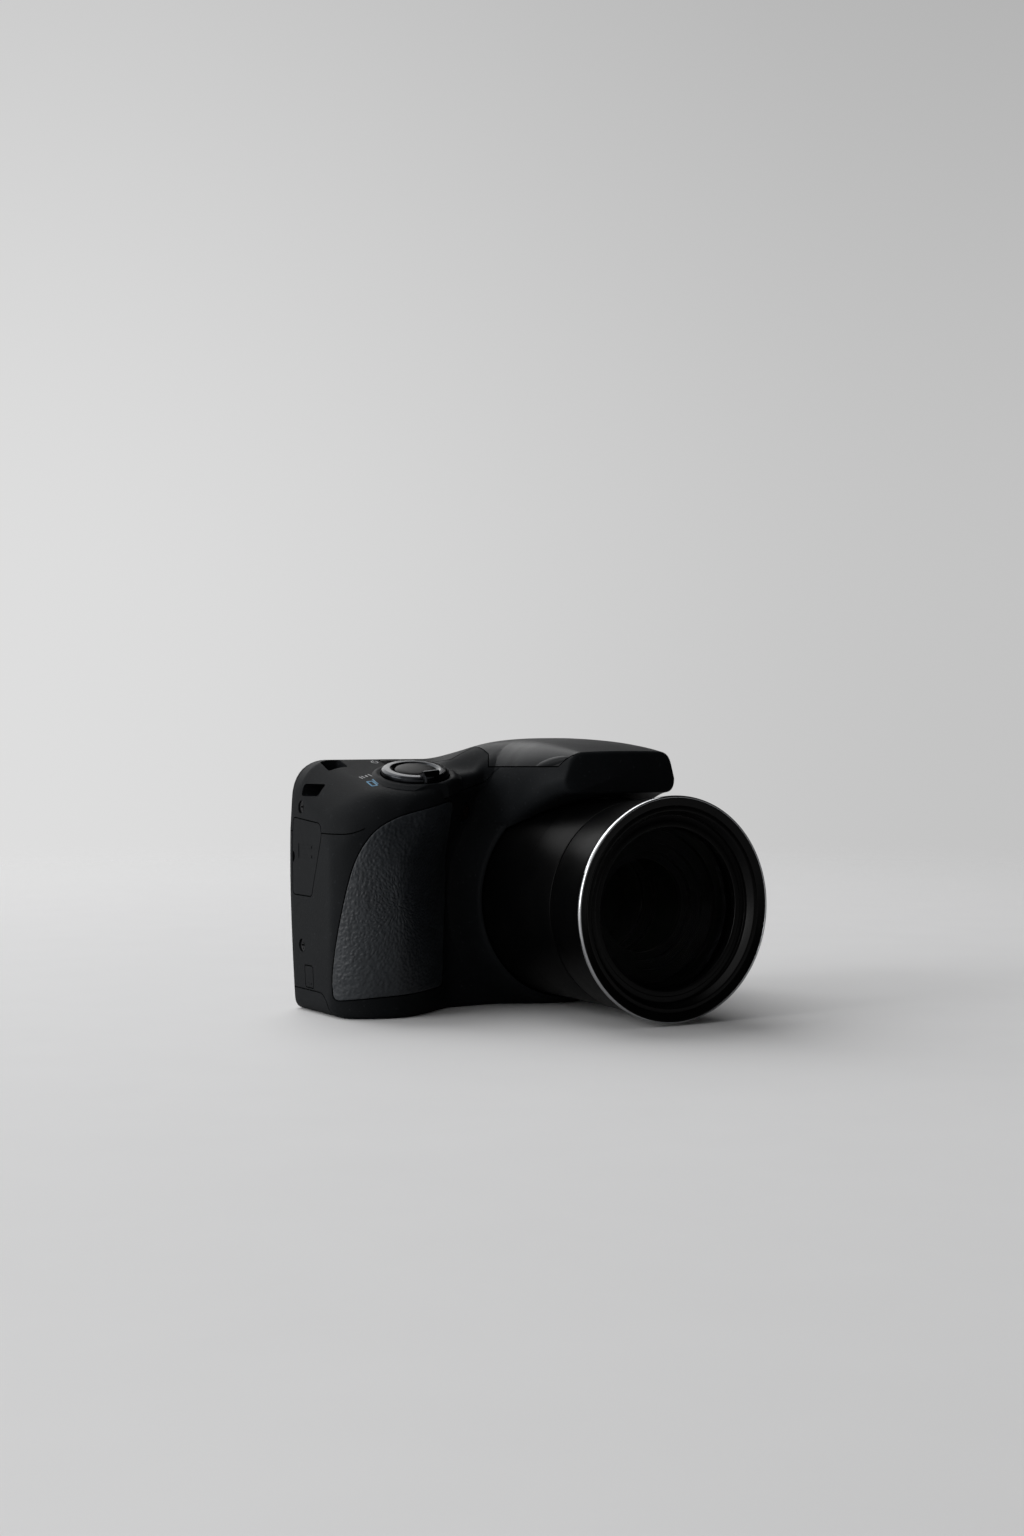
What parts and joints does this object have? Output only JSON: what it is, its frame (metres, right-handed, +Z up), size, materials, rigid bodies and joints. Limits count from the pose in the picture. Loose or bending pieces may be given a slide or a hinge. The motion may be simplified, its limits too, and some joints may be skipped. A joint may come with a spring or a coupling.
{
  "type": "bridge camera",
  "caption": "Compact superzoom bridge camera with a deep grip, telescoping lens, pop-up flash in the hump, sloped top deck with zoom lever, and a rear display with keys.",
  "frame": {"origin": "mouth of the tripod socket, on the base under the lens axis", "axes": "+Z up, the lens points to -Y, the grip is at -X, x = 0 is the lens axis"},
  "size_m": [0.1044, 0.0801, 0.0691],
  "materials": {
    "body_plastic": "fine textured matt black moulding",
    "grip_rubber": "leather-grained black skin",
    "flap_rubber": "smooth soft black rubber",
    "barrel_black": "satin black barrel",
    "inner_black": "dull black moulding",
    "bright_ring": "polished ring",
    "gloss_black": "glossy black",
    "lens_glass": "coated optical glass",
    "lamp_glass": "smoked lamp window",
    "lever_metal": "dark polished metal",
    "key_plastic": "satin black keys",
    "display_glass": "glossy black window",
    "display_panel": "dark display",
    "board_green": "circuit board",
    "sensor": "sensor cover",
    "steel": "plain steel",
    "screw_black": "blackened screws",
    "reflector": "bright reflector",
    "battery_grey": "battery pack",
    "card_blue": "memory card",
    "latch_orange": "battery latch"
  },
  "bodies": {
    "camera": {"front_cover": "body_plastic", "top_cover": "body_plastic", "rear_cover": "body_plastic", "grip_skin": "grip_rubber", "lens_sleeve": "barrel_black", "lens_base": "inner_black", "battery_case": "inner_black", "speaker": "inner_black", "jack_block": "inner_black", "flash_capacitor": "inner_black", "rear_element": "lens_glass", "af_lamp": "lamp_glass", "lcd_window": "display_glass", "lcd_panel": "display_panel", "main_board": "board_green", "sensor_board": "board_green", "key_board": "board_green", "switch_plate": "board_green", "image_sensor": "sensor", "chassis": "steel", "flash_frame": "steel", "flash_hinge_pin": "steel", "door_hinge_pin": "steel", "latch_pin": "steel", "tripod_bush": "steel", "zoom_motor": "steel", "case_screws": "screw_black", "battery": "battery_grey", "memory_card": "card_blue"},
    "middle_barrel": {"middle_barrel": "barrel_black", "shutter_unit": "inner_black", "second_element": "lens_glass"},
    "front_barrel": {"front_barrel": "barrel_black", "front_ring": "bright_ring", "front_bezel": "gloss_black", "front_element": "lens_glass", "front_baffle": "inner_black"},
    "cam_ring": {"cam_ring": "inner_black"},
    "flash": {"flash_lid": "body_plastic", "flash_housing": "inner_black", "flash_reflector": "reflector", "flash_tube": "lens_glass", "flash_window": "lens_glass"},
    "battery_door": {"battery_door": "body_plastic", "door_hinge_leaf": "steel"},
    "terminal_cover": {"terminal_cover": "flap_rubber"},
    "coupler_flap": {"coupler_flap": "flap_rubber"},
    "battery_latch": {"battery_latch": "latch_orange"},
    "zoom_lever": {"zoom_lever": "lever_metal"},
    "shutter_button": {"shutter_button": "key_plastic"},
    "power_button": {"power_button": "key_plastic"},
    "movie_button": {"movie_button": "key_plastic"},
    "play_button": {"play_button": "key_plastic"},
    "frame_button": {"frame_button": "key_plastic"},
    "menu_button": {"menu_button": "key_plastic"},
    "pad_pivot": {"pad_pivot": "inner_black"},
    "control_pad": {"control_pad": "key_plastic"},
    "set_button": {"set_button": "key_plastic"}
  },
  "joints": [
    {"name": "zoom_slide", "type": "slide", "parent": "camera", "child": "middle_barrel", "axis": [0, -1, 0], "range_m": [0, 0.024]},
    {"name": "front_slide", "type": "slide", "parent": "middle_barrel", "child": "front_barrel", "axis": [0, -1, 0], "range_m": [0, 0.024]},
    {"name": "cam_turn", "type": "hinge", "parent": "camera", "child": "cam_ring", "pos_m": [0, -0.03, 0.0281], "axis": [0, -1, 0], "range_deg": [0, 101]},
    {"name": "flash_lift", "type": "hinge", "parent": "camera", "child": "flash", "pos_m": [0, -0.0095, 0.0645], "axis": [-1, 0, 0], "range_deg": [0, 40]},
    {"name": "door_swing", "type": "hinge", "parent": "camera", "child": "battery_door", "pos_m": [-0.041, -0.006, 0.0009], "axis": [0, -1, 0], "range_deg": [0, 90]},
    {"name": "terminal_swing", "type": "hinge", "parent": "camera", "child": "terminal_cover", "pos_m": [-0.0665, -0.003, 0.0297], "axis": [0, -1, 0], "range_deg": [0, 95]},
    {"name": "coupler_swing", "type": "hinge", "parent": "camera", "child": "coupler_flap", "pos_m": [-0.06585, -0.005, 0.0118], "axis": [0, 1, 0], "range_deg": [0, 80]},
    {"name": "latch_swing", "type": "hinge", "parent": "camera", "child": "battery_latch", "pos_m": [-0.0494, -0.001, 0.007], "axis": [0, -1, 0], "range_deg": [0, 15], "stiffness_Nm_per_rad": 0.002},
    {"name": "zoom_turn", "type": "hinge", "parent": "camera", "child": "zoom_lever", "pos_m": [-0.0412, -0.016, 0.05963], "axis": [-0.0913, -0.2402, 0.9664], "range_deg": [-20, 20], "stiffness_Nm_per_rad": 0.01},
    {"name": "shutter_press", "type": "slide", "parent": "camera", "child": "shutter_button", "axis": [0.0913, 0.2402, -0.9664], "range_m": [0, 0.0012], "stiffness_N_per_m": 300},
    {"name": "power_press", "type": "slide", "parent": "camera", "child": "power_button", "axis": [0, 0, -1], "range_m": [0, 0.0006], "stiffness_N_per_m": 400},
    {"name": "movie_press", "type": "slide", "parent": "camera", "child": "movie_button", "axis": [0, -1, 0], "range_m": [0, 0.0005], "stiffness_N_per_m": 400},
    {"name": "play_press", "type": "slide", "parent": "camera", "child": "play_button", "axis": [0, -1, 0], "range_m": [0, 0.0005], "stiffness_N_per_m": 400},
    {"name": "frame_press", "type": "slide", "parent": "camera", "child": "frame_button", "axis": [0, -1, 0], "range_m": [0, 0.0005], "stiffness_N_per_m": 400},
    {"name": "menu_press", "type": "slide", "parent": "camera", "child": "menu_button", "axis": [0, -1, 0], "range_m": [0, 0.0005], "stiffness_N_per_m": 400},
    {"name": "pad_tilt_up_down", "type": "hinge", "parent": "camera", "child": "pad_pivot", "pos_m": [-0.047, 0.00505, 0.026], "axis": [1, 0, 0], "range_deg": [-2.5, 2.5], "stiffness_Nm_per_rad": 0.02},
    {"name": "pad_tilt_left_right", "type": "hinge", "parent": "pad_pivot", "child": "control_pad", "pos_m": [-0.047, 0.00505, 0.026], "axis": [0, 0, 1], "range_deg": [-2.5, 2.5], "stiffness_Nm_per_rad": 0.02},
    {"name": "set_press", "type": "slide", "parent": "camera", "child": "set_button", "axis": [0, -1, 0], "range_m": [0, 0.0005], "stiffness_N_per_m": 400}
  ],
  "couplings": [
    {"joint": "front_slide", "follows": "zoom_slide", "ratio": 1},
    {"joint": "cam_turn", "follows": "zoom_slide", "rad_per_m": 72.7}
  ]
}
